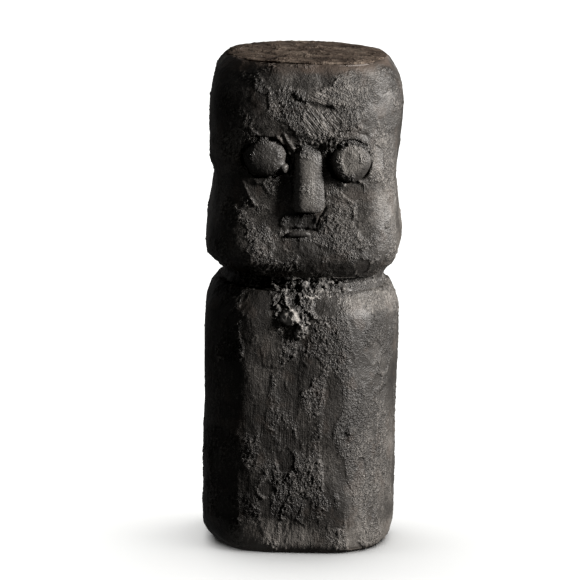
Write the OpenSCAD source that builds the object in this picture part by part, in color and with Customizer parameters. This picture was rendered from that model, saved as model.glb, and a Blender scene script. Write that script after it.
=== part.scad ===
// Hand-built ceramic ancestor figure: a squared drum for the body, a squared drum for
// the head, a coil between them, slabs that close both ends, and modelled features
// that are let into the face. The figure stands on +Z and faces -Y. Millimetres.

/* [Overall] */
// Height from the table to the crown
figure_h = 400; // [380:2:430]
// Width of the body across its flat sides
body_w = 158; // [152:1:166]
// Wall thickness at the flat sides
wall = 13; // [11:0.5:15]
// Play around every collar, seat and pocket
joint_gap = 0.4; // [0.2:0.1:0.6]

/* [Body] */
// How far the rounded corners reach past the flat sides, measured from the axis
body_corner_proud = 9.5; // [9:0.5:12]
// Radius of the rolled edge at the foot
foot_round = 15; // [12:1:18]
// Height of the sloping shoulder
shoulder_h = 20; // [16:1:26]
// How far the shoulder slopes in
shoulder_in = 8.5; // [6:0.5:10]
// Sideways shift of the corner rounding, which leaves one side flatter
corner_shift = -7; // [-8:1:0]

/* [Neck] */
// Depth of the neck groove from the flat sides
groove_in = 11; // [9:0.5:13]
// Thickness of the coil between body and head
coil_h = 12; // [10:1:14]
// Outer radius of the collar that stands on the body
collar_r = 40; // [36:1:44]
// Wall of the collar
collar_wall = 10; // [8:0.5:12]

/* [Head] */
// How much wider than the body the skull is, on each side
skull_proud = 1; // [0:0.5:2]
// How far the rounded corners of the skull reach past its flat sides
skull_corner_proud = 13; // [11:0.5:14]
// Height of the rounding below the crown
crown_round_h = 46; // [40:1:50]
// How far that rounding draws in
crown_in = 18; // [15:0.5:20]
// Depth of the notch at each temple
temple_in = 5; // [3:0.5:7]
// Depth of the face plane behind the forehead
face_in = 7; // [5:0.5:9]
// Radius of the slab that closes the crown
crown_slab_r = 62.5; // [58:0.5:63]

/* [Face] */
// Radius of each eye
eye_r = 16.5; // [14:0.5:18]
// Distance from the middle of the face to each eye
eye_x = 34; // [30:1:36]
// Radius of the socket round each eye
socket_r = 20.5; // [19:0.5:22]
// Length of the nose
nose_h = 54; // [46:1:58]
// Radius of the nose at its tip
nose_tip_r = 16; // [13:0.5:17]
// Radius of the nose at its bridge
nose_bridge_r = 10.5; // [8:0.5:12]
// Length of the mouth slit
mouth_w = 36; // [28:1:42]
// Radius of the rolled lower lip
lip_r = 3.4; // [2.5:0.1:4]

/* [Crust] */
// Thickness of the crust daubed on the chest and the forehead
crust_t = 1.7; // [1:0.1:2]

/* [Base] */
// Radius of the slab that closes the body
base_slab_r = 55.5; // [50:0.5:56]
// Thickness of that slab
base_slab_h = 12; // [10:0.5:14]
// Radius of the vent hole through it
vent_r = 10; // [6:0.5:12]
// Radius of each foot pad
pad_r = 11; // [8:0.5:13]
// Thickness of each foot pad
pad_h = 2.5; // [2:0.5:3]
// Number of foot pads
pad_count = 4; // [3:1:6]

/* [Hidden] */
$fn = 96;

// Half sizes across the flat sides
body_half = body_w / 2;
skull_half = body_half + skull_proud;
skull_front = skull_half - crust_t;
body_front = skull_front - 0.3;
face_front = skull_front - face_in;

// Levels, from the table up
rim_z = 1;
slab_z = pad_h;
ledge_z = slab_z + base_slab_h;
body_floor_z = ledge_z + 10;
neck_z = 0.55 * figure_h;
body_top_z = neck_z - coil_h / 2;
shoulder_z = body_top_z - shoulder_h;
body_roof_z = body_top_z - wall - 5;
head_z = neck_z + coil_h / 2;
jaw_z = head_z + 21;
head_floor_z = head_z + wall + 3;
collar_top_z = head_floor_z - 4;
cheek_z = 0.64 * figure_h;
temple_z = 0.755 * figure_h;
temple_rise = 14;
crown_z = figure_h - crown_round_h;
head_top_z = figure_h - 2;
crown_ledge_z = figure_h - 14;
head_roof_z = crown_ledge_z - 10;

// Levels of the face
eye_z = 0.805 * figure_h;
brow_z = 0.865 * figure_h;
brow_h = 28;
chin_z = 0.612 * figure_h;
chin_rise = 24;
chin_in = 2.5;
nose_z = 0.7 * figure_h;
mouth_z = 0.6615 * figure_h;

// Depths of what is let into the face, measured from the axis
socket_floor_y = face_front - 8;
eye_seat_y = socket_floor_y - 5;
face_wall_y = eye_seat_y - 6;
nose_axis_y = skull_half - nose_tip_r;
nose_seat_y = face_front - 6;
bed_h = 3;
slit_h = 3;
slit_deep = 4;

// Round openings
slab_bore_r = base_slab_r + joint_gap;
ledge_r = slab_bore_r - 8;
collar_bore_r = collar_r - collar_wall;
crown_bore_r = crown_slab_r + joint_gap;
crown_plug_r = crown_slab_r - 9;
pad_circle_r = 0.74 * base_slab_r;
reach = 3 * body_w;

// 0 up to 1 with a level start and end, over the span from a to b
function ease(z, a, b) = let (t = min(max((z - a) / (b - a), 0), 1)) t * t * (3 - 2 * t);
// How far a quarter ellipse, deep by high, draws in at a distance d past its start
function round_in(d, deep, high) = d <= 0 ? 0 : deep * (1 - sqrt(max(1 - pow(d / high, 2), 0)));

// Half width and corner radius of the body at a level
function body_in(z) = round_in(rim_z + foot_round - z, foot_round, foot_round)
    + (z > shoulder_z ? shoulder_in * pow((z - shoulder_z) / shoulder_h, 1.4) : 0);
function body_corner(z) = body_half - body_in(z) + body_corner_proud;

// Half widths and corner radius of the head at a level
function jaw_in(z) = round_in(jaw_z - z, groove_in, jaw_z - head_z);
function crown_draw(z) = round_in(z - crown_z, crown_in, crown_round_h);
function temple_cut(z) = temple_in * ease(z, cheek_z, temple_z)
    * (1 - ease(z, temple_z, temple_z + temple_rise));
function face_cut(z) = face_in * (1 - ease(z, brow_z - brow_h, brow_z))
    - (face_in - chin_in) * (1 - ease(z, chin_z, chin_z + chin_rise));
function head_side(z) = skull_half - jaw_in(z) - crown_draw(z) - temple_cut(z);
function head_back(z) = skull_half - jaw_in(z) - crown_draw(z);
function head_front(z) = skull_front - jaw_in(z) - crown_draw(z) - face_cut(z);
function head_corner(z) = head_back(z)
    + skull_corner_proud * (1 - pow(max(z - crown_z, 0) / crown_round_h, 2));

// The levels at which each outline has a point
function spread(a, b, n) = [for (i = [0 : n - 1]) a + (b - a) * i / n];
body_levels = concat([for (a = [90 : -15 : 15]) rim_z + foot_round * (1 - sin(a))],
                     [rim_z + foot_round], spread(shoulder_z, body_top_z, 5), [body_top_z]);
head_levels = concat([for (a = [90 : -18 : 18]) jaw_z - (jaw_z - head_z) * sin(a)],
                     spread(jaw_z, temple_z, 9), spread(temple_z, temple_z + temple_rise, 4),
                     spread(temple_z + temple_rise, crown_z, 5),
                     [for (a = [0 : 14 : 70]) crown_z + crown_round_h * sin(a)], [head_top_z]);

// A block whose front view, side view and corner rounding are three outlines
module squared(levels, side, front, back, corner, shift = 0) {
    intersection() {
        rotate([90, 0, 0])
            linear_extrude(reach, center = true)
                polygon(concat([for (z = levels) [side(z), z]],
                               [for (i = [len(levels) - 1 : -1 : 0]) [-side(levels[i]), levels[i]]]));
        rotate([90, 0, 90])
            linear_extrude(reach, center = true)
                polygon(concat([for (z = levels) [back(z), z]],
                               [for (i = [len(levels) - 1 : -1 : 0]) [-front(levels[i]), levels[i]]]));
        translate([shift, 0, 0])
            rotate_extrude()
                polygon(concat([[0, levels[len(levels) - 1]], [0, levels[0]]],
                               [for (z = levels) [corner(z), z]]));
    }
}

// An upright block with flat sides and rounded corners
module squared_room(side, front, back, corner, z0, z1) {
    intersection() {
        translate([-side, -front, z0])
            cube([2 * side, front + back, z1 - z0]);
        translate([0, 0, z0])
            cylinder(r = corner, h = z1 - z0);
    }
}

// Places a child that is drawn along +Z so that it comes out of the face
module out_of_face(x, depth, z) {
    translate([x, -depth, z])
        rotate([90, 0, 0])
            children();
}

module body_block(grow = 0) {
    squared(body_levels,
            function(z) body_half - body_in(z) + grow,
            function(z) body_front - body_in(z) + grow,
            function(z) body_half - body_in(z) + grow,
            function(z) body_corner(z) + grow,
            corner_shift);
}

module head_block(grow = 0) {
    squared(head_levels,
            function(z) head_side(z) + grow,
            function(z) head_front(z) + grow,
            function(z) head_back(z) + grow,
            function(z) head_corner(z) + grow);
}

// Lower drum, open below for the base slab, with the collar that locates the head
module body_shell() {
    color("#37322e")
    difference() {
        union() {
            body_block();
            translate([0, 0, body_top_z - 1])
                cylinder(r = collar_r, h = collar_top_z - body_top_z + 1);
        }
        squared_room(body_half - wall, body_front - wall, body_half - wall,
                     body_half - 2, body_floor_z, body_roof_z);
        translate([0, 0, rim_z - 1])
            cylinder(r = slab_bore_r, h = ledge_z - rim_z + 1);
        translate([0, 0, rim_z])
            cylinder(r = ledge_r, h = body_floor_z - rim_z + 1);
        translate([0, 0, body_roof_z - 1])
            cylinder(r = collar_bore_r, h = collar_top_z - body_roof_z + 2);
    }
}

// Eye socket and the seat in its floor
module eye_socket(x) {
    out_of_face(x, socket_floor_y, eye_z)
        cylinder(r = socket_r, h = reach);
    out_of_face(x, eye_seat_y, eye_z)
        cylinder(r = eye_r + joint_gap, h = reach);
}

// Turned shape of the nose, its pocket when grown by the joint gap
module nose_form(grow = 0) {
    tip_round = 5;
    translate([0, -nose_axis_y, 0])
        rotate_extrude()
            polygon(concat([[0, nose_z + nose_h + grow], [0, nose_z - grow]],
                           [for (a = [0 : 18 : 90])
                               [nose_tip_r + grow - tip_round * (1 - sin(a)),
                                nose_z - grow + tip_round * (1 - cos(a))]],
                           [[nose_bridge_r + grow, nose_z + nose_h + grow]]));
}

// Rolled lip with round ends, its bed when grown by the joint gap
module lip_form(grow = 0) {
    half = mouth_w / 2 - 4 - lip_r;
    translate([0, -head_front(mouth_z - lip_r), mouth_z - lip_r - slit_h / 2]) {
        rotate([0, 90, 0])
            cylinder(r = lip_r + grow, h = 2 * half, center = true);
        for (side = [-1, 1])
            translate([side * half, 0, 0])
                sphere(r = lip_r + grow);
    }
}

// Upper drum, open above for the crown slab, with the seats of the face
module head_shell() {
    color("#3d3935")
    difference() {
        head_block();
        squared_room(skull_half - wall, face_wall_y, skull_half - wall,
                     skull_half - 2, head_floor_z, head_roof_z);
        translate([0, 0, head_z - 1])
            cylinder(r = collar_r + joint_gap, h = head_floor_z - head_z + 2);
        translate([0, 0, crown_ledge_z])
            cylinder(r = crown_bore_r, h = figure_h);
        translate([0, 0, head_roof_z - 1])
            cylinder(r = crown_plug_r + joint_gap, h = figure_h);
        for (side = [-1, 1])
            eye_socket(side * eye_x);
        intersection() {
            nose_form(joint_gap);
            translate([-reach / 2, -nose_seat_y - reach, 0])
                cube(reach);
        }
        translate([-mouth_w / 2, -head_front(mouth_z) - slit_deep, mouth_z - slit_h / 2])
            cube([mouth_w, 2 * slit_deep, slit_h]);
        lip_form(joint_gap);
    }
}

// Coil that fills the joint between the two drums
module neck_coil() {
    half = body_half - groove_in;
    color("#2f2b28")
    difference() {
        squared_room(half, half, half, half + body_corner_proud, body_top_z, head_z);
        translate([0, 0, body_top_z - 1])
            cylinder(r = collar_r + joint_gap, h = coil_h + 2);
    }
}

// Slab that closes the head, with a plug that drops inside the rim
module crown_slab() {
    color("#554940")
    union() {
        translate([0, 0, crown_ledge_z])
            cylinder(r = crown_slab_r, h = figure_h - crown_ledge_z);
        translate([0, 0, head_roof_z])
            cylinder(r = crown_plug_r, h = crown_ledge_z - head_roof_z + 1);
    }
}

// Slab that closes the body, with its vent hole
module base_slab() {
    color("#4b423b")
    difference() {
        translate([0, 0, slab_z])
            cylinder(r = base_slab_r, h = base_slab_h);
        translate([0, 0, slab_z - 1])
            cylinder(r = vent_r, h = base_slab_h + 2);
    }
}

// Round eye on a short shank
module eye(x) {
    out_of_face(x, eye_seat_y, eye_z)
        union() {
            cylinder(r = eye_r, h = socket_floor_y - eye_seat_y - 2);
            intersection() {
                translate([0, 0, socket_floor_y - eye_seat_y - 2])
                    sphere(r = eye_r);
                cylinder(r = 2 * eye_r, h = 2 * eye_r);
            }
        }
}

module left_eye() {
    color("#45403c") eye(eye_x);
}

module right_eye() {
    color("#45403c") eye(-eye_x);
}

// Ring of slip that beds an eye in its socket
module eye_bed(x) {
    out_of_face(x, socket_floor_y, eye_z)
        difference() {
            cylinder(r = socket_r, h = bed_h);
            translate([0, 0, -1])
                cylinder(r = eye_r + joint_gap, h = bed_h + 2);
        }
}

module left_eye_bed() {
    color("#2f2b28") eye_bed(eye_x);
}

module right_eye_bed() {
    color("#2f2b28") eye_bed(-eye_x);
}

// Nose, let into its pocket in the face
module nose() {
    color("#4a4541")
    intersection() {
        nose_form();
        translate([-reach / 2, -nose_seat_y - reach, 0])
            cube(reach);
    }
}

module lower_lip() {
    color("#4a4541") lip_form();
}

// Layer of crust that lies on a block, inside an outline drawn on the front view
module crust_on_front(z_low, z_high) {
    intersection() {
        difference() {
            children(0);
            children(1);
        }
        translate([-reach / 2, -reach, z_low])
            cube([reach, reach, z_high - z_low]);
        rotate([90, 0, 0])
            linear_extrude(reach)
                children(2);
    }
}

// Thick daub of crust below the neck
module chest_crust() {
    color("#57514c")
    crust_on_front(shoulder_z - 24, body_top_z) {
        body_block(crust_t);
        body_block();
        for (spot = [[-18, 0, 13], [0, -8, 16], [20, -2, 14]])
            translate([spot[0], shoulder_z + spot[1]])
                circle(r = spot[2]);
    }
}

// Daub of crust across the forehead
module forehead_crust() {
    color("#57514c")
    crust_on_front(brow_z, head_top_z) {
        head_block(crust_t);
        head_block();
        for (spot = [[-4, 13, 8], [8, 12, 9], [20, 10, 8], [6, 0, 8]])
            translate([spot[0], crown_z + spot[1]])
                circle(r = spot[2]);
    }
}

// Pads that stand on the table, one solid each
module foot_pads() {
    color("#1c1a19")
    for (i = [0 : pad_count - 1])
        rotate([0, 0, (i + 0.5) * 360 / pad_count])
            translate([pad_circle_r, 0, 0])
                cylinder(r = pad_r, h = pad_h);
}

body_shell();
head_shell();
neck_coil();
crown_slab();
base_slab();
left_eye();
right_eye();
left_eye_bed();
right_eye_bed();
nose();
lower_lip();
chest_crust();
forehead_crust();
foot_pads();
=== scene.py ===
"""A ceramic ancestor figure: two crusted drums, ball eyes, a post nose and a band of rough mortar.

Shapes are worked out in millimetres, in the CAD frame: +Z up, and the face looks along -Y. Every piece
is a loft of closed rings, pushed in and out along its own normals by the fields of the crust.
"""
import itertools
import math

import bpy
import numpy as np
from mathutils import Matrix, Vector


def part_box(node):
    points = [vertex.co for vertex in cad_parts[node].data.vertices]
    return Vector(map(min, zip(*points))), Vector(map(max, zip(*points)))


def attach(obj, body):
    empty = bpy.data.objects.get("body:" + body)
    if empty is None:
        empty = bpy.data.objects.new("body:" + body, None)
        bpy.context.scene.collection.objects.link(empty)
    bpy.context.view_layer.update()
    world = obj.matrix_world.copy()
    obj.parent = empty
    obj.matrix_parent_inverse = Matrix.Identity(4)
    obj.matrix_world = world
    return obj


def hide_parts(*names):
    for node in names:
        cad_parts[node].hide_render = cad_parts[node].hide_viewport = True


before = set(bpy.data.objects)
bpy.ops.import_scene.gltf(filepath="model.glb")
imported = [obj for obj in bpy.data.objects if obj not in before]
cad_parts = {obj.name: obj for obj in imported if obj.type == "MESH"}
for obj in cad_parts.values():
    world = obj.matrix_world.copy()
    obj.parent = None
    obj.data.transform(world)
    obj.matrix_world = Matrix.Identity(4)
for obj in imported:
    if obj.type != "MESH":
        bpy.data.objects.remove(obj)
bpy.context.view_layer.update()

MM = 0.001


def box_mm(node):
    """The lowest and the highest corner of a CAD node's box, in millimetres."""
    low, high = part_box(node)
    return np.array(low) / MM, np.array(high) / MM


# ---------------------------------------------------------------- sizes from the frame
body_low, body_high = box_mm("body_shell")
head_low, head_high = box_mm("head_shell")
coil_low, coil_high = box_mm("neck_coil")
crown_low, crown_high = box_mm("crown_slab")
slab_low, slab_high = box_mm("base_slab")

body_half = body_high[0]
body_front = -body_low[1]
rim_z = body_low[2]
body_top = coil_low[2]
head_bottom = coil_high[2]
collar_top = body_high[2]
neck_half = coil_high[0]
skull_half = head_high[0]
skull_front = -head_low[1]
head_top = head_high[2]
seat_r = crown_high[0] - 5.5  # narrower than in CAD, so that the head's wall lasts below the worn rim
crown_top = crown_high[2]
figure_h = crown_top

FOOT_ROUND = 16
SHOULDER_H = 20
SHOULDER_IN = 8.5
COLLAR_R = 40.5
COLLAR_BORE_R = 30
FOOT_IN = 8.5
FOOT_LEAN_H = 50
BODY_CORNER = 9.5
BODY_SHIFT = -7
SKULL_CORNER = 12.5
CHEEK_IN = 1
JAW_H = 16
JAW_IN = skull_half - CHEEK_IN - neck_half - 3
CROWN_H = 46
CROWN_IN = 15
CROWN_LIP = 1.1
RIM_R = 54.0
RIM_WIDE = 13.0
RIM_HIGH = 2.3
RIM_DEEP = 2.7
RIM_UNDER = 4.6
RIM_PULL = 0.09
RIM_LIFT = 1.6
PLUG_R = 53  # the crown slab's lower step, which hangs in the head's opening
PLUG_H = 10
PLUG_GAP = 1
POCKET_Y = 58.0  # how far ahead of the axis the eyes and the nose start, inside the head's wall
BALL_Y = 70.0  # how far ahead of the axis an eye's straight side ends and its ball begins
WALL = 13
ROOM_FRONT = 52  # the head's wall is thicker behind the face
ROOM_CORNER_IN = 2
ROOF_H = 18
LEDGE_R = 48
LEDGE_H = 10
FIT = 0.4  # the gap round a slab in its seat
LAP = 0.3  # how far the body's top runs into the mortar of the neck
NECK_LIFT = 2.2
EDGE_POWER = 28

neck_z = (body_top + head_bottom) / 2
land_r = neck_half - 6  # where the drums' level ends begin, under the mortar
shoulder_z = body_top - SHOULDER_H
jaw_z = head_bottom + JAW_H
crown_z = figure_h - CROWN_H


# ---------------------------------------------------------------- noise
def smooth(value, low, high):
    """0 below low, 1 above high, and a smooth rise between."""
    t = np.clip((value - low) / (high - low), 0, 1)
    return t * t * (3 - 2 * t)


class Noise:
    """Repeatable gradient noise and cells in space. Points are in millimetres."""

    def __init__(self, seed):
        rng = np.random.default_rng(seed)
        self.order = np.tile(rng.permutation(256), 2)
        directions = rng.normal(size=(256, 3))
        self.slopes = directions / np.linalg.norm(directions, axis=1)[:, None]
        self.spots = rng.random((256, 3))
        self.chances = rng.random(256)

    def _cell(self, i, j, k):
        order = self.order
        return order[order[order[i & 255] + (j & 255)] + (k & 255)]

    def wave(self, points, size):
        """Smooth noise from about -1 to 1, with features of that size."""
        p = points / size
        base = np.floor(p).astype(int)
        f = p - base
        u = f * f * f * (f * (f * 6 - 15) + 10)
        total = np.zeros(len(p))
        for corner in itertools.product((0, 1), repeat=3):
            c = np.array(corner)
            cell = self._cell(*(base + c).T)
            weight = np.prod(np.where(c, u, 1 - u), axis=1)
            total += weight * np.einsum("ij,ij->i", self.slopes[cell], f - c)
        return total * 1.6

    def fbm(self, points, size, octaves=3):
        """Several octaves of the smooth noise, each half the size and half the height of the last."""
        return sum(self.wave(points + 71 * i, size / 2 ** i) / 2 ** i for i in range(octaves))

    def cells(self, points, size):
        """Distance to the nearest spot, how much further the next one is, and a chance per cell."""
        p = points / size
        base = np.floor(p).astype(int)
        first = np.full(len(p), 9.0)
        second = first.copy()
        chance = np.zeros(len(p))
        for step in itertools.product((-1, 0, 1), repeat=3):
            at = base + np.array(step)
            cell = self._cell(*at.T)
            gap = np.linalg.norm(at + self.spots[cell] - p, axis=1)
            nearer = gap < first
            second = np.where(nearer, first, np.minimum(second, gap))
            chance = np.where(nearer, self.chances[cell], chance)
            first = np.minimum(first, gap)
        return first, second - first, chance


noise = Noise(7)


# ---------------------------------------------------------------- meshes
def loft(name, rings, closed=False):
    """A closed mesh through rings of points in millimetres: a tube that meets itself, or capped ends."""
    rows, columns = rings.shape[:2]
    points = rings.reshape(-1, 3)
    i, j = np.meshgrid(np.arange(rows if closed else rows - 1), np.arange(columns), indexing="ij")
    down, right = (i + 1) % rows, (j + 1) % columns
    quads = np.stack([i * columns + j, i * columns + right, down * columns + right, down * columns + j], -1)
    faces = quads.reshape(-1, 4).tolist()
    if not closed:
        start, end = len(points), len(points) + 1
        points = np.vstack([points, rings[0].mean(0), rings[-1].mean(0)])
        last = (rows - 1) * columns
        for c in range(columns):
            d = (c + 1) % columns
            faces.append([start, d, c])
            faces.append([end, last + c, last + d])
    mesh = bpy.data.meshes.new(name)
    mesh.from_pydata((points * MM).tolist(), [], faces)
    mesh.shade_smooth()
    mesh.update()
    piece = bpy.data.objects.new(name, mesh)
    bpy.context.scene.collection.objects.link(piece)
    return piece


def normals_of(rings, closed):
    """Unit normals of a loft's rings, from the neighbours of each point."""
    around = np.roll(rings, -1, axis=1) - np.roll(rings, 1, axis=1)
    if closed:
        along = np.roll(rings, -1, axis=0) - np.roll(rings, 1, axis=0)
    else:
        along = np.gradient(rings, axis=0)
    n = np.cross(around, along)
    return n / np.maximum(np.linalg.norm(n, axis=2, keepdims=True), 1e-9)


def mark(piece, name, values):
    """Stores one number per point of the piece, for its material."""
    values = np.ravel(values)
    spare = len(piece.data.vertices) - len(values)
    values = np.append(values, np.zeros(spare))
    attribute = piece.data.attributes.new(name, "FLOAT", "POINT")
    attribute.data.foreach_set("value", values.astype(np.float32))


def stand_for(piece, nodes, material):
    """Gives a finished piece its material and its place in the frame."""
    piece.data.materials.append(material)
    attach(piece, "root")
    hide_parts(*nodes)
    return piece


# ---------------------------------------------------------------- outlines of the two drums
def quarter(distance, deep, high):
    """How far a quarter ellipse has drawn in at a distance past its start."""
    t = np.clip(distance / high, 0, 1)
    return deep * (1 - np.sqrt(1 - t * t))


def section(turn, side, front, back, corner, shift=0.0):
    """Distance from the axis to a squared outline. turn is 0 at the front and grows towards +X."""
    across, ahead = np.sin(turn), np.cos(turn)
    flat_x = np.abs(across) / side
    flat_y = np.abs(ahead) / np.where(ahead > 0, front, back)
    bend = shift * across + np.sqrt(corner ** 2 - (shift * ahead) ** 2)
    return (flat_x ** EDGE_POWER + flat_y ** EDGE_POWER + bend ** -EDGE_POWER) ** (-1 / EDGE_POWER)


def body_in(turn, z):
    """How far the outline draws in: more at the sides of the foot than at its front."""
    front = smooth(np.cos(turn), 0.35, 0.85)
    high = FOOT_ROUND - 8 * front
    foot = quarter(rim_z + high - z, 1, high) * (FOOT_IN - 4.0 * front)
    rise = np.clip((z - shoulder_z) / SHOULDER_H, 0, 1)
    return foot + SHOULDER_IN * rise ** 1.4


def body_radius(turn, z):
    """The outline rounds towards a circle at the neck and the foot, where the front leans in as well."""
    inward = body_in(turn, z) + 3.2 * (1 - smooth(z, 0, 16)) * smooth(-np.sin(turn), 0.6, 0.95)
    near_neck = np.clip((z - shoulder_z + 8) / (SHOULDER_H + 8), 0, 1) ** 1.5
    near_end = near_neck + 1.15 * np.clip(1 - z / 26, 0, 1)
    side = body_half - inward - 0.8 * (1 - smooth(z, 0, 180))
    corner = side + BODY_CORNER * (1 - 0.72 * near_end)
    lean = (4.5 + 2.0 * smooth(np.sin(turn), 0.15, 0.6)) * (1 - smooth(z, 0, FOOT_LEAN_H))
    front = body_front - inward - lean
    return section(turn, side, front, side, corner, BODY_SHIFT * (1 - 0.8 * near_end))


def head_radius(turn, z):
    """The head is a little lopsided: the temple, the jowl and the crown's corner differ side to side."""
    left = np.sin(turn) > 0
    jaw = JAW_IN * np.clip((jaw_z - z) / JAW_H, 0, 1) ** 1.8
    crown = quarter(z - crown_z, CROWN_IN, CROWN_H - CROWN_LIP)
    temple = 5.2 * smooth(z, 252, 300) * (1 - smooth(z, 301, np.where(left, 362, 318)))
    left_jowl = 9.0 * (1 - smooth(z, 214, 264)) + 1.4 * (1 - smooth(z, 222, 246))
    jowl = np.where(left, left_jowl, 2.0 * (1 - smooth(z, 228, 238)))
    left_fuller = -0.4 - 1.2 * smooth(z, 285, 305) - 4.0 * smooth(z, 379, 396)
    fuller = np.where(left, left_fuller, 1.6 * (1 - smooth(z, 290, 312)))
    side = skull_half - jaw - crown
    chin = smooth(z, 244, 268)
    brow = smooth(z, 324, 352)
    front = skull_front - jaw - crown - 2.5 * (1 - chin) - 6.5 * chin * (1 - brow)
    forehead = smooth(z, 300, 350) * (1 - smooth(z, 380, figure_h))
    near_neck = np.clip((jaw_z + 8 - z) / (JAW_H + 8), 0, 1) ** 1.5
    corner = side + SKULL_CORNER * (1 - smooth(z, 374, figure_h) * 0.9 - 0.78 * near_neck) - 0.6 * temple
    side_x = side - CHEEK_IN - temple - jowl + fuller
    return section(turn, side_x, front, side - 0.4 * temple, corner, -4.5 * forehead)


def face_depth(x, z):
    """How far the smooth face stands ahead of the axis at a place seen from the front."""
    ahead = 74.0  # a first guess, which each round corrects
    for _ in range(3):
        turn = np.arctan2(x, ahead)
        ahead = head_radius(turn, z) * np.cos(turn)
    return ahead


def climb(rings):
    """Lifts the neck groove on the figure's right, where the coil is a little thicker."""
    lifted = rings.copy()
    near = np.exp(-((rings[..., 2] - neck_z) / 20) ** 2)
    lifted[..., 2] += NECK_LIFT * smooth(-rings[..., 0], 15, 75) * near
    return lifted


def ring(turn, radius, z):
    """A level ring of points."""
    radius = np.broadcast_to(radius, turn.shape)
    return np.stack([radius * np.sin(turn), -radius * np.cos(turn), np.full(turn.shape, float(z))], -1)


# ---------------------------------------------------------------- the crust
def spot(p, x, z, wide, high):
    """1 in the middle of a spot on the front, falling to 0 at its edge."""
    gap = np.hypot((p[:, 0] - x) / wide, (p[:, 2] - z) / high)
    return (1 - smooth(gap, 0.55, 1.15)) * (p[:, 1] < 0)


def grains(p, size, fill):
    """Rounded grains of sand, each with its own height from 0 to 1."""
    near, _, chance = noise.cells(p, size)
    return np.clip(1 - (near / 0.62) ** 2, 0, 1) * smooth(chance, 1 - fill, 1.1)


def wrinkles(p, size, thin=4.0):
    """Narrow wandering crests on a flat ground, from 0 to 1."""
    return np.clip(1 - thin * np.abs(noise.wave(p, size)), 0, 1)


def layers(value):
    """Steps of height 1 with sharp edges, like coats of slip that have flaked off."""
    whole = np.floor(value)
    return whole + smooth(value - whole, 0, 0.16)


def warp(p, by, size):
    """The points, each moved by up to that many millimetres, so that fields read there look bent."""
    return p + by * np.stack([noise.wave(p + 31 * k, size) for k in range(3)], -1)


def crust(p, rough):
    """Height of the crust in millimetres: crumbs and wrinkles where it is rough, flaked coats elsewhere."""
    bent = warp(p, 1.4, 5)
    crumbs = 0.50 * wrinkles(bent, 3.9, 4.6) + 0.40 * wrinkles(bent + 20, 2.5, 3.2)
    crumbs += 0.20 * grains(bent, 2.3, 0.4)
    crumbs += 0.20 * noise.wave(bent + 50, 2.8) + 0.25 * noise.wave(bent + 80, 7)
    crumbs += 0.60 * wrinkles(bent + 33, 5.2, 5.0) * smooth(noise.wave(p + 44, 11), 0.05, 0.45)
    crumbs *= 0.68 + 0.52 * smooth(noise.wave(p + 140, 7), -0.35, 0.35)
    skin = 0.22 * layers(2.2 * noise.fbm(p + 90, 19, 4)) + 0.08 * noise.wave(p, 2.2)
    return rough * crumbs + (1 - 0.7 * rough) * skin


def rubble(p):
    """Lumps of mortar with pits between them."""
    bent = warp(p, 2.2, 6)
    lumps = 2.4 * grains(bent, 8.5, 0.85)
    return lumps + 1.5 * noise.wave(bent + 15, 4.4) + 0.9 * noise.wave(bent + 35, 2.4)


def plates(p, size):
    """Smooth scabs: 1 on each of them, and a second field that is 1 along their raised rims."""
    near, _, chance = noise.cells(warp(p, 5.0, 11) + 640, size)
    here = smooth(chance, 0.45, 0.50)
    radius = 0.20 + 0.18 * chance
    rim = np.exp(-((near - radius - 0.015) / 0.03) ** 2) * smooth(noise.wave(p + 650, 9), -0.1, 0.4)
    return here * (1 - smooth(near, radius - 0.05, radius)), here * rim


def unevenness(p):
    """The broad hollows and swellings of a hand-built wall."""
    return 1.0 * noise.fbm(p + 200, 60, 2) + 0.45 * noise.wave(p + 300, 21)


def line_gap(p, points):
    """How far each point lies, seen from the front, from a line through the given (x, z) points."""
    here = p[:, [0, 2]]
    nearest = np.full(len(p), 1e3)
    for start, end in zip(points, points[1:]):
        start, along = np.array(start), np.subtract(end, start)
        t = np.clip((here - start) @ along / (along @ along), 0, 1)
        nearest = np.minimum(nearest, np.linalg.norm(here - start - t[:, None] * along, axis=1))
    return nearest


def pushed(rings, height, weight, closed):
    """The rings moved out along their normals by a height, weighted ring by ring."""
    n = normals_of(rings, closed)
    return rings + n * (height.reshape(rings.shape[:2]) * weight[:, None])[..., None]


def crest_of(height, shape):
    """How far each point stands above its surroundings: below 0 in a pit, above 0 on a crest."""
    sharp = height.reshape(shape)
    soft = sharp
    for _ in range(3):
        for axis in (0, 1):
            soft = (soft + np.roll(soft, 1, axis) + np.roll(soft, -1, axis)) / 3
    return np.clip(1.8 * (sharp - soft), -0.36, 1)


def crusted(name, rings, height, rough, carry=None, closed=False, relief=0):
    """Lofts the rings with their crust and relief on, and stores what the materials read."""
    carry = np.ones(len(rings)) if carry is None else carry
    piece = loft(name, pushed(rings, height + relief, carry, closed), closed)
    mark(piece, "rough", rough)
    # crest is what the materials turn into a painted highlight on crests and painted shade in pits
    mark(piece, "crest", crest_of(height, rings.shape[:2]) * carry[:, None])
    return piece


# ---------------------------------------------------------------- body
COLUMNS = 460
STEP = 1.07
EVEN = np.linspace(0, 2 * math.pi, COLUMNS, endpoint=False)
TURN = EVEN - 0.22 * np.sin(EVEN)  # the columns stand closer together at the front


def drum_rings(outer, inner):
    """Rings up the outside, then down the inside, and how much crust each one carries."""
    rings = [ring(TURN, radius, z) for radius, z in outer + inner]
    carry = np.array([1.0] * len(outer) + [0.0] * len(inner))
    return np.array(rings), carry


def sides(p, half):
    """1 on the two sides, 0 across the front and the back."""
    return smooth(np.abs(p[:, 0]), half - 14, half - 3)


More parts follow.
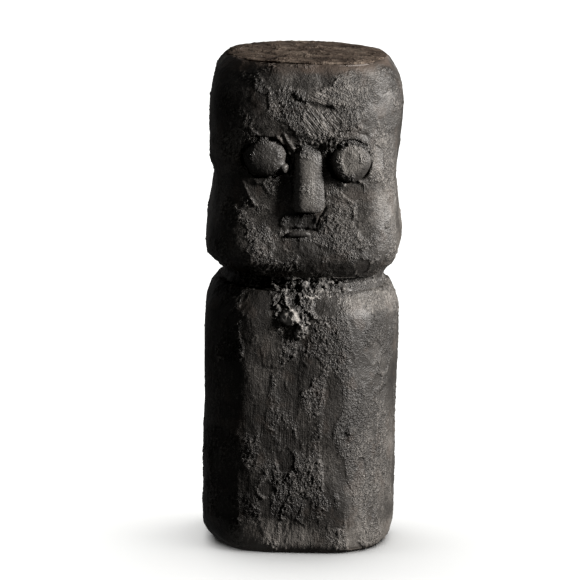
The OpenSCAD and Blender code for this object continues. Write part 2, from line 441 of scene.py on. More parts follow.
def body_roughness(p):
    """0 where the body's slip is smooth and 1 where it is crumbly; the spots follow the photo."""
    x, z = p[:, 0], p[:, 2]
    base = noise.fbm(p * np.array([1, 1, 0.55]) + 500, 24, 4) + 0.06
    base += 0.45 * smooth(z, 190, 214)
    base += 0.28 * (1 - smooth(np.abs(x - 34 + 2 * noise.wave(p, 30)), 2, 9)) * (p[:, 1] < 0)
    base += 0.45 * spot(p, 4, 178, 34, 30) + 0.25 * spot(p, -4, 90, 26, 90)
    base += 0.35 * spot(p, 34, 14, 12, 14) - 0.35 * spot(p, -46, 34, 10, 14)
    base += 0.30 * spot(p, 56, 50, 20, 70) - 0.22 * spot(p, 3, 52, 16, 24)
    base -= 0.5 * spot(p, -38, 160, 14, 60) + 0.15 * sides(p, body_half)
    base -= 1.0 * (spot(p, -37, 204, 14, 11) + spot(p, 18, 203, 12, 7.5) + spot(p, 9, 155, 9, 9))
    return smooth(base, -0.15, 0.28)


def make_body():
    """The lower drum with its collar, hollow, and open at the foot for the slab."""
    arc = [rim_z + FOOT_ROUND * (1 - math.sin(a)) for a in np.linspace(math.pi / 2, 0, 20, endpoint=False)]
    levels = arc + list(np.arange(rim_z + FOOT_ROUND, body_top, STEP))
    outer = [(body_radius(TURN, z), z) for z in levels]
    seat_side, seat_z = slab_high[0] + FIT, slab_high[2]
    roof_z, ledge_z = body_top - ROOF_H, seat_z + LEDGE_H
    room = section(TURN, body_half - WALL, body_front - WALL, body_half - WALL, body_half - ROOM_CORNER_IN)
    inner = [(land_r, body_top + LAP), (COLLAR_R, body_top + LAP), (COLLAR_R, collar_top),
             (COLLAR_BORE_R, collar_top), (COLLAR_BORE_R, roof_z), (room, roof_z), (room, 110),
             (room, ledge_z), (LEDGE_R, ledge_z), (LEDGE_R, seat_z), (seat_side, seat_z), (seat_side, rim_z)]
    rings, carry = drum_rings(outer, inner)
    p = rings.reshape(-1, 3)
    rough = body_roughness(p)
    scabs, rims = plates(p * np.array([1, 1, 0.8]), 27)
    rough = rough * (1 - scabs)
    height = crust(p * np.array([1, 1, 0.72]), rough) + 0.35 * rims - 0.10 * scabs
    streaks = wrinkles(p * np.array([1, 1, 0.10]) + 600, 2.6, 3.0)
    reach = smooth(-p[:, 0], -34, -10) * (p[:, 1] < 0) * smooth(190 - p[:, 2], 0, 40)
    height += 0.10 * streaks * (1 - 0.4 * rough) * reach
    height += unevenness(p) - 0.3
    height += 1.6 * spot(p, 41, 102, 5, 4)
    carry[:6] = np.linspace(0, 1, 6)
    piece = crusted("body", climb(rings), height, rough, carry, True)
    mark(piece, "streak", reach)
    # dust in the noise; the spots are paler patches
    paleness = 0.18 * noise.fbm(p + 210, 34, 3) + 0.22 * spot(p, 52, 205, 26, 10)
    paleness += 0.10 * spot(p, 60, 60, 30, 60) + 0.10 * spot(p, 56, 14, 24, 14)
    # paler over the bottom of the front, most on its -X half
    paleness += 0.42 * spot(p, -24, 15, 36, 16)
    foot_paleness = (1 - smooth(p[:, 2], 4, 34)) * (p[:, 1] < 0) * smooth(p[:, 0], -62, -42)
    mark(piece, "pale", paleness + 0.26 * foot_paleness)
    bare_rim = 0.5 * (1 - smooth(p[:, 2], 1, 5))
    mark(piece, "clay", bare_rim + 0.25 * smooth(noise.fbm(p + 230, 15, 3), 0.25, 0.6))
    return piece


# ---------------------------------------------------------------- head
eye_low, eye_high = box_mm("left_eye")
eye_x, _, eye_z = (eye_low + eye_high) / 2
nose_low, nose_high = box_mm("nose")
SOCKETS = {1: (eye_x - 0.6, eye_z, 18.4, 17.4), -1: (-eye_x + 1.0, eye_z + 1.5, 20.6, 17.2)}


def head_roughness(p):
    """0 where the head's slip is smooth and 1 where it is crumbly."""
    z = p[:, 2]
    base = noise.fbm(p + 900, 26, 4) + 0.02
    base += 0.3 * (1 - smooth(z, 228, 250)) - 0.20 * sides(p, skull_half)
    base += 0.4 * spot(p, -38, 262, 18, 9) + 0.25 * spot(p, 30, 258, 14, 16) - 0.4 * spot(p, 4, 252, 20, 6)
    base += 0.40 * spot(p, 22, 376, 22, 12) + 0.45 * spot(p, 34, 300, 20, 9) + 0.4 * spot(p, 56, 322, 8, 20)
    base += 0.30 * spot(p, -38, 352, 16, 30) + 0.2 * spot(p, 8, 268, 18, 10)
    base -= 0.7 * (spot(p, 54, 285, 14, 22) + spot(p, 2, 388, 18, 9) + spot(p, -30, 294, 14, 10))
    base -= 0.4 * smooth(z, 388, 398) + 0.8 * spot(p, -2, 268, 16, 10)
    return smooth(base, -0.15, 0.28)


def socket_gap(p, side):
    """Distance from the middle of a socket, 1 at its rim."""
    x, z, wide, high = SOCKETS[side]
    return np.hypot((p[:, 0] - x) / wide, (p[:, 2] - z) / high)


def along(p, points, wide, sharp=0.25):
    """1 on a line of (x, z) points, falling to 0 at that distance from it."""
    return 1 - smooth(line_gap(p, points), sharp * wide, wide)


def face_relief(p):
    """The sockets, the mouth, the brow and the creases, in millimetres out from the surface."""
    p = p + 0.9 * np.stack([noise.wave(p + 12, 6), np.zeros(len(p)), noise.wave(p + 13, 6)], -1)
    wobble = 0.06 * noise.wave(p + 77, 8)
    relief = -0.0012 * np.minimum(np.abs(p[:, 0]), 48) ** 2 * smooth(p[:, 2], 300, 350)
    relief *= smooth(-p[:, 1], 34, 68)
    for side in (-1, 1):
        gap = socket_gap(p, side) + wobble
        relief -= 6.0 * (1 - smooth(gap, 0.86, 1.0))
        relief += 0.8 * smooth(gap, 0.95, 1.03) * (1 - smooth(gap, 1.06, 1.4))
    relief += 1.0 * along(p, [(20, 337), (27, 341.5), (36, 342.5), (46, 339)], 3.4, 0.5)
    relief -= 0.7 * along(p, [(24, 345), (36, 346.5), (50, 342)], 1.6)
    relief += 1.6 * along(p, [(-24, 341), (-19, 335), (-14, 327)], 1.7)
    relief += 1.0 * along(p, [(-19, 342.5), (-14, 336), (-10.5, 329)], 1.5)
    relief += 0.9 * along(p, [(-57, 334), (-57, 325), (-54.5, 312), (-50, 300), (-41, 284)], 1.3)
    relief += 1.2 * spot(p, 17, 335, 3.6, 3.2)
    relief -= 1.8 * along(p, [(-12.6, 266.0), (0, 266.2), (8, 265.4)], 1.4)
    relief -= 0.6 * along(p, [(9, 263.4), (17, 261.6), (25, 262.6)], 1.4)
    relief -= 0.9 * along(p, [(15.6, 283.5), (12, 276.5), (8.8, 269)], 1.4)
    relief += 0.8 * spot(p, 9.5, 273.5, 3, 3) - 0.5 * spot(p, 1, 273, 19, 6.5)
    relief += 0.9 * along(p, [(-8, 375), (3, 373.5), (14, 370.5), (22, 369.5)], 4.5, 0.4)
    relief -= 0.5 * along(p, [(-12.5, 371.8), (-3, 369.4), (8, 366.2), (19, 366.6)], 1.3)
    return relief * (p[:, 1] < -30)


FAN_X = -9
FAN_Z = 369


def fan_mask(p):
    """1 where scratches fan out, down and towards +X, from a point on the forehead."""
    x, z = p[:, 0] - FAN_X, FAN_Z - p[:, 2]
    reach = np.hypot(x, z)
    turn = np.arctan2(z, x)
    inside = smooth(turn, 0.12, 0.3) * (1 - smooth(turn, 1.15, 1.4))
    return inside * smooth(reach, 7, 11) * (1 - smooth(reach, 30, 46)) * (p[:, 1] < 0)


def hatch_mask(p):
    """1 where short scratches cross the middle of the forehead."""
    return (spot(p, 15, 374, 17, 8) + 0.8 * spot(p, 24, 384, 12, 9)).clip(0, 1)


def strokes(p):
    """The coarser scratches of the fan and of the hatching."""
    x, z = p[:, 0] - FAN_X, FAN_Z - p[:, 2]
    fan = np.stack([np.arctan2(z, x) * 40, np.hypot(x, z) * 0.10, 0 * x], -1)
    upper = np.stack([p[:, 2] + 0.33 * p[:, 0], 0.1 * p[:, 0], 0 * x], -1)
    return wrinkles(fan + 40, 3.0, 3.0) * fan_mask(p) + wrinkles(upper + 60, 2.8, 3.0) * hatch_mask(p)


def make_head():
    """The upper drum, hollow, with the face worked into its front."""
    arc = [jaw_z - JAW_H * math.sin(a) for a in np.linspace(math.pi / 2, 0, 20, endpoint=False)]
    crown_arc = [crown_z + (CROWN_H - CROWN_LIP) * math.sin(a) for a in np.linspace(0, 1.53, 52)]
    levels = arc + list(np.arange(jaw_z, crown_z, STEP)) + crown_arc
    outer = [(head_radius(TURN, z), z) for z in levels]
    seat_side, seat_z = seat_r + FIT, crown_low[2] + PLUG_H
    opening_r, roof_z = PLUG_R + PLUG_GAP, seat_z - PLUG_H
    room = section(TURN, skull_half - WALL, ROOM_FRONT, skull_half - WALL, skull_half - ROOM_CORNER_IN)
    inner = [(seat_side, head_top), (seat_side, seat_z), (opening_r, seat_z), (opening_r, roof_z),
             (room, roof_z), (room, 310), (room, jaw_z), (COLLAR_R, jaw_z), (COLLAR_R, head_bottom),
             (land_r, head_bottom)]
    rings, carry = drum_rings(outer, inner)
    p = rings.reshape(-1, 3)
    rough = head_roughness(p)
    scabs, rims = plates(p + 60, 24)
    rough = rough * (1 - scabs)
    height = crust(p, rough) + 0.3 * rims - 0.1 * scabs + 0.35 * strokes(p) * (p[:, 1] < 0)
    carry[:4] = np.linspace(0, 1, 4)
    piece = crusted("head", climb(rings), height, rough, carry, True, face_relief(p) + unevenness(p) - 0.7)
    mark(piece, "fan", fan_mask(p))
    mark(piece, "hatch", hatch_mask(p))
    # dust in the noise and over the forehead
    paleness = 0.20 * noise.fbm(p + 250, 34, 3) + 0.2 * spot(p, 22, 376, 24, 12)
    # painted shade: darker towards +X at the side of the forehead, fading out down to eye level
    paleness -= 0.14 * smooth(p[:, 0], 54, 72) * smooth(p[:, 2], 300, 350) * (p[:, 1] < 0)
    # paler in the scratches and on the +X cheek
    paleness += 0.30 * strokes(p) * (p[:, 1] < 0) + 0.08 * spot(p, 42, 256, 14, 16)
    # painted shade under the nose and below the mouth
    paleness -= 0.12 * spot(p, 8, 258, 22, 16) + 0.34 * spot(p, -2, 272, 22, 8)
    mark(piece, "pale", paleness + 0.12)
    worn_top = smooth(p[:, 2] + 4 * noise.fbm(p + 270, 16, 3), 389, 399)
    mark(piece, "clay", 0.9 * worn_top + 0.25 * smooth(noise.fbm(p + 260, 15, 3), 0.25, 0.6))
    return piece


# ---------------------------------------------------------------- what is set into the drums
def slip(rings, rough_bias, seed):
    """Roughness and crust height over a small piece."""
    p = rings.reshape(-1, 3)
    rough = smooth(noise.fbm(p + seed, 16, 2) + rough_bias, -0.15, 0.35)
    return p, rough, crust(p + seed, rough)


def make_coil():
    """A coil with a hollow waist; mortar bulges out of it across the front."""
    waist = 3.6
    half_h = (coil_high[2] - coil_low[2]) / 2
    middle = (coil_high[2] + coil_low[2]) / 2
    base = section(TURN, neck_half, neck_half, neck_half, neck_half + 2.5)
    rings = []
    for a in np.linspace(-1, 1, 22):
        rings.append(ring(TURN, base - waist + waist * abs(a) ** 1.4, middle + a * (half_h + 2 * LAP)))
    rings += [ring(TURN, COLLAR_R, middle + half_h), ring(TURN, COLLAR_R, middle - half_h)]
    rings = np.array(rings)
    p, rough, height = slip(rings, 0.5, 50)
    front = smooth(-p[:, 1], 30, 66) * (1 - smooth(np.abs(p[:, 0] - 4), 22, 48))
    height += (1.1 * rubble(p + 60) + 0.8) * front + 0.8 * noise.wave(p + 61, 9) - 0.4
    carry = np.array([1.0] * 22 + [0.0, 0.0])
    return crusted("neck_mortar", climb(rings), height, rough, carry, True)


ROUND = np.linspace(0, 2 * math.pi, 200, endpoint=False)


def facing_ring(x, z, wide, high, depth, turn=ROUND):
    """A ring of points that faces the front; depth is how far it stands ahead of the axis."""
    return np.stack([x + wide * np.cos(turn), np.broadcast_to(-depth, turn.shape) * 1.0,
                     z + high * np.sin(turn)], -1)


def make_eye(side, name, place, size, proud, turned, pale=0.0, corner=0.0):
    """A ball on a shank: turned leans it, pale paints a highlight on its middle, corner draws its lower side
    into a knot.
    """
    x, z = place
    wide, high = size
    lobe = 1 + corner * np.exp(-((ROUND - 1.82 * math.pi) / 0.26) ** 2)
    lobe *= 1 + 0.02 * np.sin(3 * ROUND + side) + 0.015 * np.sin(5 * ROUND)
    rings = [facing_ring(x, z, 13, 12, POCKET_Y), facing_ring(x, z, 13, 12, POCKET_Y + 2)]
    rings += [facing_ring(x, z, wide * lobe, high * lobe, y) for y in np.arange(POCKET_Y + 3, BALL_Y)]
    for a in np.linspace(0.05, math.pi / 2 - 0.01, 46):
        scale = math.cos(a) ** 0.60 * lobe ** (math.cos(a) ** 0.5)
        rings.append(facing_ring(x, z, wide * scale, high * scale, BALL_Y + proud * math.sin(a)))
    rings = np.array(rings)
    lean = -0.02 * (rings[..., 2] - z) - turned * (rings[..., 0] - x)
    rings[..., 1] -= lean * smooth(-rings[..., 1], POCKET_Y + 3, BALL_Y)
    p, rough, height = slip(rings, 0.05 - 0.10 * side, 10 * side)
    height = 0.75 * height + 0.5 * noise.wave(p + 33, 12)
    if corner:
        height += 2.4 * spot(p, x + 0.97 * wide, z - 0.55 * high, 4.2, 3.8)
    carry = np.concatenate([[0.0, 0.3], np.ones(len(rings) - 2)])
    piece = crusted(name, rings, height, rough, carry)
    # painted highlight a little above the middle of the ball
    mark(piece, "pale", pale * spot(p, x - 1, z + 3, 0.95 * wide, 0.9 * high))
    return piece


def make_eye_bed(side, name, gap_turns, full):
    """A crumbly ring of slip round an eye, sunk where the gap stays open; full lifts its upper -X side."""
    x, z, wide, high = SOCKETS[side]
    sunk = np.zeros(len(ROUND))
    for middle, spread in gap_turns:
        off = np.abs((ROUND - middle + math.pi) % (2 * math.pi) - math.pi)
        sunk = np.maximum(sunk, 1 - smooth(off, 0.55 * spread, 1.05 * spread))
    face = face_depth(x + wide * np.cos(ROUND), z + high * np.sin(ROUND))
    face += full * smooth(np.cos(ROUND - 0.82 * math.pi), 0.3, 0.95)
    rings = []
    for a in np.linspace(0, 2 * math.pi, 24, endpoint=False):
        out = -2.2 + 3.8 * math.cos(a)
        rings.append(facing_ring(x, z, wide + out, high + out, face - 3.0 - 3.0 * sunk + 2.2 * math.sin(a)))
    rings = np.array(rings)
    p, rough, height = slip(rings, 0.45, 20 * side)
    height = height + 1.1 * noise.wave(p + 90, 4.0) - 0.3
    return crusted(name, rings, height, rough, None, True)


def make_nose():
    """A post that dies into the brow, with its front turned a little and one flank steeper."""
    bottom, top = nose_low[2], nose_high[2] + 9
    base_wide, base_proud, tip_high = 16.8, 77.4, 7
    rings = []
    for t in np.linspace(0, 1, 76):
        z = bottom + (top - bottom) * t
        tip = quarter(tip_high - (z - bottom), 1, tip_high)
        wide = base_wide - 3.8 * t - 5.5 * tip
        proud = base_proud - 1.0 * t - 2.4 * tip - 3.4 * smooth(t, 0.58, 0.92)
        c, s = np.cos(ROUND), np.sin(ROUND)
        swell = np.where(c > 0, np.abs(c) ** np.where(s > 0, 0.50, 0.36), 0.0)
        ahead = POCKET_Y + swell * (proud - POCKET_Y - 0.13 * s * wide)
        across = np.where(s > 0, s * (wide + 1.4), s * (wide - 3.4))
        rings.append(np.stack([0.8 + across, -ahead, np.full(ROUND.shape, z)], -1))
    rings = np.array(rings)
    p, rough, height = slip(rings, -0.10, 400)
    height = 0.6 * height + 0.7 * noise.wave(p + 44, 14)
    piece = crusted("nose_post", rings, height, rough)
    mark(piece, "pale", 0.20 - 0.40 * smooth(p[:, 2], nose_high[2] - 10, nose_high[2] + 4)
         - 0.18 * smooth(p[:, 0], 4, 11))
    return piece


def make_lip():
    """A short roll under the mouth slit, with its right end a little lower."""
    middle_x, middle_y, middle_z = -5.5, -72.6, 262.3
    thick, half_wide = 2.4, 9.5
    around = np.linspace(0, 2 * math.pi, 40, endpoint=False)
    rings = []
    for a in np.linspace(-1, 1, 60):
        r = thick * math.sqrt(max(1 - a ** 4, 0.001))
        x = middle_x + half_wide * a
        z = middle_z - 1.6 * a * a * (a < 0)
        rings.append(np.stack([np.full(around.shape, x), middle_y - r * 0.9 * np.sin(around),
                               z + r * np.cos(around)], -1))
    rings = np.array(rings)
    _, rough, height = slip(rings, -0.3, 700)
    return crusted("lower_lip_roll", rings, 0.35 * height, rough)


def patch(name, radius_at, centre_turn, centre_z, wide, high, thick, seed, lumps=1.0):
    """An irregular daub that lies on a drum: a back sheet under the skin and a lumpy front one."""
    edge = 1 + 0.35 * noise.fbm(np.stack([np.cos(ROUND), np.sin(ROUND), ROUND * 0], -1) * 30 + seed, 22, 3)
    back_rows, rows = 8, 46
    scales = list(np.linspace(0.02, 1, back_rows)) + list(np.linspace(1, 0.01, rows))
    rings = []
    for k, s in enumerate(scales):
        turn = centre_turn + s * edge * wide * np.cos(ROUND)
        z = centre_z + s * edge * high * np.sin(ROUND)
        lift = -4.0 if k < back_rows else -2.2 * s ** 3 + thick * (1 - s ** 3)
        r = radius_at(turn, z) + lift
        rings.append(np.stack([r * np.sin(turn), -r * np.cos(turn), z], -1))
    rings = np.array(rings)
    p, rough, height = slip(rings, 0.5, seed)
    height = height + lumps * (0.85 * rubble(p + seed) + 1.0 * noise.wave(p + seed + 3, 12)) - 0.9
    smooth_oval = spot(p, 18, 203, 13, 8) + spot(p, -37, 204, 14, 11) + spot(p, -9, 208, 5, 6)
    height = height * (1 - smooth_oval) - 1.5 * smooth_oval
    height += lumps * (3.6 * spot(p, -11, 195, 8, 6.5) + 2.6 * spot(p, -2, 183, 5, 8))
    carry = np.concatenate([np.zeros(back_rows), np.ones(rows)])
    piece = crusted(name, rings, height, rough * (1 - smooth_oval), carry)
    mark(piece, "pale", lumps * (0.5 * spot(p, -11, 195, 9, 7) + 0.35 * spot(p, 12, 212, 14, 5)))
    return piece


def make_crown():
    """The slab that closes the head, scraped level by hand; its worn rim draws in at the front and left."""
    turn = np.linspace(0, 2 * math.pi, 300, endpoint=False)
    low, seat_z = crown_low[2], crown_low[2] + PLUG_H
    rings = [ring(turn, 20, low), ring(turn, PLUG_R, low), ring(turn, PLUG_R, seat_z),
             ring(turn, seat_r, seat_z), ring(turn, seat_r, crown_top - RIM_UNDER)]
    edge_z = crown_top - RIM_DEEP
    pulled = np.maximum(smooth(np.cos(turn), 0.55, 1), 0.65 * smooth(np.sin(turn), 0.5, 1))
    drawn = 1 - RIM_PULL * pulled
    for a in np.linspace(0, math.pi / 2, 16):
        edge = ring(turn, drawn * (RIM_R + RIM_WIDE * math.cos(a)), edge_z + RIM_HIGH * math.sin(a))
        edge[:, 2] += RIM_LIFT * pulled * (1 - math.sin(a))
        rings.append(edge)
    for r in np.arange(RIM_R - 1, 1, -1.1):
        rings.append(ring(turn, drawn * r, edge_z + RIM_HIGH))
    rings = np.array(rings)
    p, rough, height = slip(rings, 0.08, 800)
    scrape = noise.fbm(p * np.array([0.5, 1.0, 1.0]) + 810, 9, 4)
    height = 0.8 * height + 0.6 * scrape
    carry = np.concatenate([np.zeros(5), np.ones(len(rings) - 5)])
    piece = crusted("crown_disc", rings, height, rough, carry)
    mark(piece, "pale", 0.16 * scrape + 0.30 * noise.fbm(p + 820, 22, 3) - 0.04)
    return piece


def make_slab():
    """The plain slab that closes the body, with its vent hole."""
    turn = np.linspace(0, 2 * math.pi, 160, endpoint=False)
    low, high, radius = slab_low[2], slab_high[2], slab_high[0]
    vent_r = 10
    rings = [ring(turn, vent_r, high), ring(turn, vent_r, low)]
    rings += [ring(turn, r, low) for r in np.linspace(vent_r + 1, radius - 1, 40)]
    rings += [ring(turn, radius, low + 1), ring(turn, radius, high)]
    rings += [ring(turn, r, high) for r in np.linspace(radius - 1, vent_r + 1, 6)]
    rings = np.array(rings)
    _, rough, height = slip(rings, -0.3, 860)
    carry = np.concatenate([[0, 0], np.linspace(0, 1, 4), np.ones(34), [1, 1], [0, 0], np.zeros(6)])
    return crusted("foot_slab", rings, 0.3 * np.minimum(height, 0.6), rough, carry, True)


def make_pads():
    """Four felt discs with softened, fuzzy edges, in one piece."""
    turn = np.linspace(0, 2 * math.pi, 72, endpoint=False)
    pad_r = 11
    pad_high = box_mm("foot_pads")[1]
    reach = pad_high[0] - pad_r
    discs = []
    for corner in itertools.product((-1, 1), repeat=2):
        rings = [ring(turn, r, 0.05) for r in (3, 6, 9, pad_r - 0.6)]
        rings += [ring(turn, pad_r - 0.1, 0.6), ring(turn, pad_r, 1.4), ring(turn, pad_r - 0.2, 2.2)]
        rings += [ring(turn, r, pad_high[2]) for r in (pad_r - 0.8, 6, 3)]
        rings = np.array(rings) + np.array([corner[0] * reach, corner[1] * reach, 0])
        fuzz = 0.12 * noise.wave(rings.reshape(-1, 3), 1.2)
        disc = loft("pad", pushed(rings, fuzz, np.array([0, 0, 0, 0.3, 1, 1, 1, 0.3, 0, 0.0]), False))
        discs.append(disc)
    with bpy.context.temp_override(active_object=discs[0], selected_editable_objects=discs):
        bpy.ops.object.join()
    discs[0].name = "felt_pads"
    return discs[0]


# ---------------------------------------------------------------- materials
def node_of(tree, kind, **settings):
    node = tree.nodes.new(kind)
    for name, value in settings.items():
        node.inputs[name.replace("_", " ")].default_value = value
    return node


class Recipe:
    """Short calls for the nodes of one material."""

    def __init__(self, name):
        self.material = bpy.data.materials.new(name)
        self.material.use_nodes = True
        self.tree = self.material.node_tree
        self.shader = self.tree.nodes["Principled BSDF"]
        self.place = self.tree.nodes.new("ShaderNodeTexCoord").outputs["Object"]

    def link(self, value, socket):
        if isinstance(value, (int, float)):
            socket.default_value = value
        else:
            self.tree.links.new(value, socket)

    def speckle(self, scale, detail):
        n = node_of(self.tree, "ShaderNodeTexNoise", Scale=scale, Detail=detail)
        self.link(self.place, n.inputs["Vector"])
        return n.outputs["Fac"]

    def lines(self, wide, long, turn):
        """Noise drawn out into lines along Z, or along a direction turned about Y from it."""
        n = node_of(self.tree, "ShaderNodeTexNoise", Scale=1.0, Detail=2.0)
        mapping = node_of(self.tree, "ShaderNodeMapping", Scale=(wide, wide, long), Rotation=(0, turn, 0))
        mapping.vector_type = "TEXTURE"
        self.link(self.place, mapping.inputs["Vector"])
        self.link(mapping.outputs[0], n.inputs["Vector"])
        return n.outputs["Fac"]

    def stored(self, attribute):
        n = self.tree.nodes.new("ShaderNodeAttribute")
        n.attribute_name = attribute
        return n.outputs["Fac"]

    def math(self, operation, a, b):
        n = self.tree.nodes.new("ShaderNodeMath")
        n.operation = operation
        self.link(a, n.inputs[0])
        self.link(b, n.inputs[1])
        return n.outputs[0]

    def ramp(self, value, stops):
        n = self.tree.nodes.new("ShaderNodeValToRGB")
        elements = n.color_ramp.elements
        elements[0].position, elements[1].position = stops[0][0], stops[-1][0]
        elements[0].color, elements[1].color = (*stops[0][1], 1), (*stops[-1][1], 1)
        for position, color in stops[1:-1]:
            elements.new(position).color = (*color, 1)
        self.link(value, n.inputs[0])
        return n.outputs[0]

    def blend(self, amount, first, second):
        n = self.tree.nodes.new("ShaderNodeMix")
        n.data_type = "RGBA"
        self.link(amount, n.inputs["Factor"])
        self.link(first, n.inputs[6])
        n.inputs[7].default_value = (*second, 1)
        return n.outputs[2]

    def bump(self, height, strength, distance):
        n = node_of(self.tree, "ShaderNodeBump", Strength=strength, Distance=distance)
        self.link(height, n.inputs["Height"])
        self.link(n.outputs[0], self.shader.inputs["Normal"])

    def spread(self, value, low, high):
        n = node_of(self.tree, "ShaderNodeMapRange", To_Min=low, To_Max=high)
        self.link(value, n.inputs["Value"])
        return n.outputs[0]


def crust_material(name, dark, mid, light, roughness=0.55, shine=0.30, clay=(0.045, 0.034, 0.027)):
    """Matte slip: painted shade darkens its pits and a painted highlight lightens its crests, with paler
    patches and bare clay showing through.
    """
    m = Recipe(name)
    fine = m.speckle(900, 3)
    broad = m.speckle(45, 5)
    rough = m.stored("rough")
    blotch = m.math("MULTIPLY", m.math("SUBTRACT", broad, 0.5), 0.40)
    grit = m.math("MULTIPLY", m.math("SUBTRACT", fine, 0.5), 0.7)
    # crest paints a highlight on the crests and shade in the pits; pale brings in dust and paler patches,
    # and the painted highlight and shade that some pieces store in it
    painted_light_and_dust = m.math("ADD", m.math("MULTIPLY", m.stored("crest"), 0.34), m.stored("pale"))
    mix = m.math("ADD", m.math("ADD", m.math("ADD", blotch, grit), painted_light_and_dust), 0.42)
    tone = m.ramp(mix, [(0.05, dark), (0.48, mid), (1.0, light)])
    m.link(m.blend(m.stored("clay"), tone, clay), m.shader.inputs["Base Color"])
    m.link(m.spread(broad, roughness - 0.14, roughness + 0.08), m.shader.inputs["Roughness"])
    m.shader.inputs["Specular IOR Level"].default_value = shine
    gap = m.math("ABSOLUTE", m.math("SUBTRACT", m.speckle(330, 1.5), 0.5), 0)
    wrinkle = m.math("MAXIMUM", m.math("SUBTRACT", 1.0, m.math("MULTIPLY", gap, 11)), 0)
    relief = m.math("ADD", m.math("MULTIPLY", fine, 0.45), m.math("MULTIPLY", wrinkle, 0.15))
    depth = m.math("ADD", m.math("MULTIPLY", rough, 0.72), 0.28)
    relief = m.math("MULTIPLY", relief, depth)
    for mask, wide, long, turn in (("streak", 0.0011, 0.014, 0), ("fan", 0.0012, 0.012, -0.70),
                                   ("hatch", 0.0012, 0.010, -1.18)):
        lines = m.math("MULTIPLY", m.lines(wide, long, turn), m.stored(mask))
        relief = m.math("ADD", relief, m.math("MULTIPLY", lines, 0.14 if turn == 0 else 0.55))
    m.bump(relief, 1.0, 0.0026)
    return m.material


def felt_material():
    """Black wool felt."""
    m = Recipe("felt")
    fibres = m.speckle(900, 5)
    m.link(m.ramp(fibres, [(0.3, (0.006, 0.006, 0.006)), (0.75, (0.035, 0.034, 0.033))]),
           m.shader.inputs["Base Color"])
    m.shader.inputs["Roughness"].default_value = 0.95
    m.shader.inputs["Sheen Weight"].default_value = 0.4
    m.bump(fibres, 0.8, 0.0004)
    return m.material


BLACK, CHARCOAL, ASH = (0.0035, 0.0030, 0.0026), (0.0185, 0.0168, 0.0150), (0.125, 0.116, 0.106)
CLAY = (0.054, 0.041, 0.032)
black_crust = crust_material("black_crust", BLACK, CHARCOAL, ASH)
worn_crust = crust_material("worn_crust", (0.006, 0.0056, 0.005), (0.025, 0.0232, 0.0214),
                            (0.13, 0.122, 0.112), 0.50)
mortar = crust_material("mortar", (0.004, 0.0038, 0.0035), (0.023, 0.0212, 0.0195),
                        (0.19, 0.18, 0.167), 0.50)
crown_clay = crust_material("crown_clay", (0.015, 0.011, 0.009), CLAY, (0.15, 0.122, 0.098), 0.72, 0.08)
bare_clay = crust_material("bare_clay", (0.020, 0.014, 0.010), (0.070, 0.052, 0.040),
                           (0.16, 0.13, 0.11), 0.75, 0.08)
felt = felt_material()

stand_for(make_body(), ["body_shell"], black_crust)
stand_for(make_head(), ["head_shell"], black_crust)
stand_for(make_coil(), ["neck_coil"], mortar)
stand_for(make_crown(), ["crown_slab"], crown_clay)
stand_for(make_slab(), ["base_slab"], bare_clay)
stand_for(make_pads(), ["foot_pads"], felt)
eye_left = make_eye(1, "eye_left", (eye_x + 1.0, eye_z - 0.8), (15.8, 16.0), 6.8, turned=0.05, pale=0.42)
eye_right = make_eye(-1, "eye_right", (-eye_x + 0.6, eye_z + 2.2), (17.0, 15.4), 9.5,
                     turned=0.02, corner=0.2)
stand_for(eye_left, ["left_eye"], worn_crust)
stand_for(eye_right, ["right_eye"], worn_crust)
bed_left = make_eye_bed(1, "eye_left_bed", [(1.12 * math.pi, 0.7)], 0.8)
bed_right = make_eye_bed(-1, "eye_right_bed", [(math.pi, 0.5), (0.05, 0.8)], 0)
stand_for(bed_left, ["left_eye_bed"], mortar)
stand_for(bed_right, ["right_eye_bed"], mortar)
stand_for(make_nose(), ["nose"], worn_crust)
stand_for(make_lip(), ["lower_lip"], worn_crust)
chest_daub = patch("chest_mortar", body_radius, 0.03, 202, 0.50, 26, 1.4, 130)
forehead_daub = patch("forehead_daub", head_radius, 0.11, 372, 0.17, 5, 0.4, 160, 0.2)
stand_for(chest_daub, ["chest_crust"], mortar)
stand_for(forehead_daub, ["forehead_crust"], mortar)


# ---------------------------------------------------------------- camera, floor and light
CAMERA_DISTANCE = 5.0
CAMERA_RISE = math.radians(10.5)
CAMERA_ROLL = math.radians(1.3)
VIEW_WIDTH_AT_FIGURE = 0.4724
AIM = Vector((-0.0111, 0, 0.2031))
WARM = (1.0, 0.965, 0.93)


def aim(thing, place, target, roll=0.0):
    turn = (target - place).to_track_quat("-Z", "Y").to_matrix().to_4x4()
    thing.matrix_world = Matrix.Translation(place) @ turn @ Matrix.Rotation(roll, 4, "Z")


def add_camera():
    data = bpy.data.cameras.new("camera")
    data.lens = data.sensor_width * CAMERA_DISTANCE / VIEW_WIDTH_AT_FIGURE
    data.clip_end = 50
    camera = bpy.data.objects.new("camera", data)
    bpy.context.scene.collection.objects.link(camera)
    back = Vector((0, -math.cos(CAMERA_RISE), math.sin(CAMERA_RISE))) * CAMERA_DISTANCE
    aim(camera, AIM + back, AIM, CAMERA_ROLL)
    bpy.context.scene.camera = camera


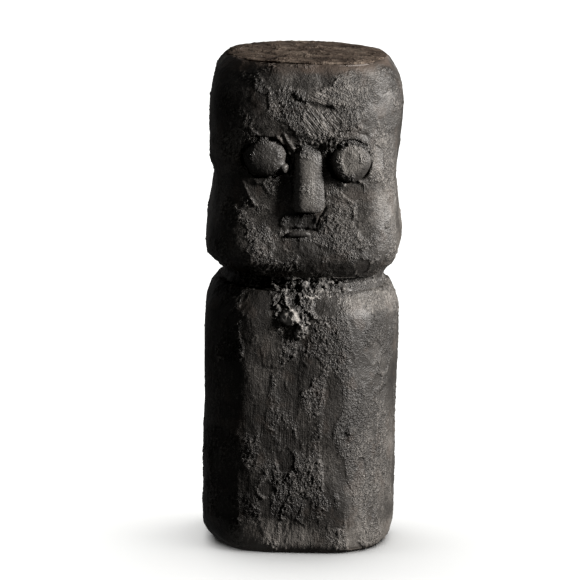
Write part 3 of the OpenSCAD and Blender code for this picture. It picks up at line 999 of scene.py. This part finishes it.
def add_light(name, place, target, size, power, spread, only_on, tint=WARM, glossy=True):
    """A rectangular lamp that falls on one collection only; glossy says if it may be reflected."""
    data = bpy.data.lights.new(name, "AREA")
    data.shape = "RECTANGLE"
    data.size, data.size_y = size
    data.energy = power
    data.spread = math.radians(spread)
    data.color = tint
    light = bpy.data.objects.new(name, data)
    bpy.context.scene.collection.objects.link(light)
    aim(light, Vector(place), Vector(target))
    light.visible_glossy = glossy
    light.light_linking.receiver_collection = only_on


def add_floor():
    """A pale floor that the figure's own surface doesn't see, so that its far side stays dark."""
    bpy.ops.mesh.primitive_plane_add(size=30, location=(0, 0, 0))
    floor = bpy.context.object
    floor.name = "floor"
    material = bpy.data.materials.new("floor")
    material.use_nodes = True
    material.node_tree.nodes["Principled BSDF"].inputs["Base Color"].default_value = (0.66, 0.66, 0.65, 1)
    material.node_tree.nodes["Principled BSDF"].inputs["Roughness"].default_value = 0.9
    floor.data.materials.append(material)
    floor.visible_diffuse = False
    floor.visible_glossy = False
    return floor


def group_of(name, things):
    """A collection that tells a light what it falls on."""
    group = bpy.data.collections.new(name)
    for thing in things:
        group.objects.link(thing)
    return group


add_camera()
floor_group = group_of("lit_floor", [add_floor()])
figure = [o for o in bpy.data.objects if o.type == "MESH" and o.name != "floor"]
figure_group = group_of("lit_figure", figure)
add_light("key", (1.78, -0.48, 0.95), (0, 0, 0.22), (0.4, 0.5), 26, 70, figure_group)
add_light("sweep", (0, 1.5, 3.2), (0, 1.5, 0), (6, 6), 430, 180, floor_group, (1, 1, 1))
add_light("back", (-0.3, 2.3, 0.4), (0, 0, 0.2), (1.0, 0.8), 26, 100, figure_group, glossy=False)
view = bpy.context.scene.view_settings
view.view_transform = "Standard"
view.use_curve_mapping = True
view.curve_mapping.black_level = (0.002, 0.002, 0.002)
view.curve_mapping.update()

world = bpy.data.worlds.new("studio")
bpy.context.scene.world = world
world.use_nodes = True
world.node_tree.nodes["Background"].inputs["Color"].default_value = (1, 1, 1, 1)
world.node_tree.nodes["Background"].inputs["Strength"].default_value = 0.10
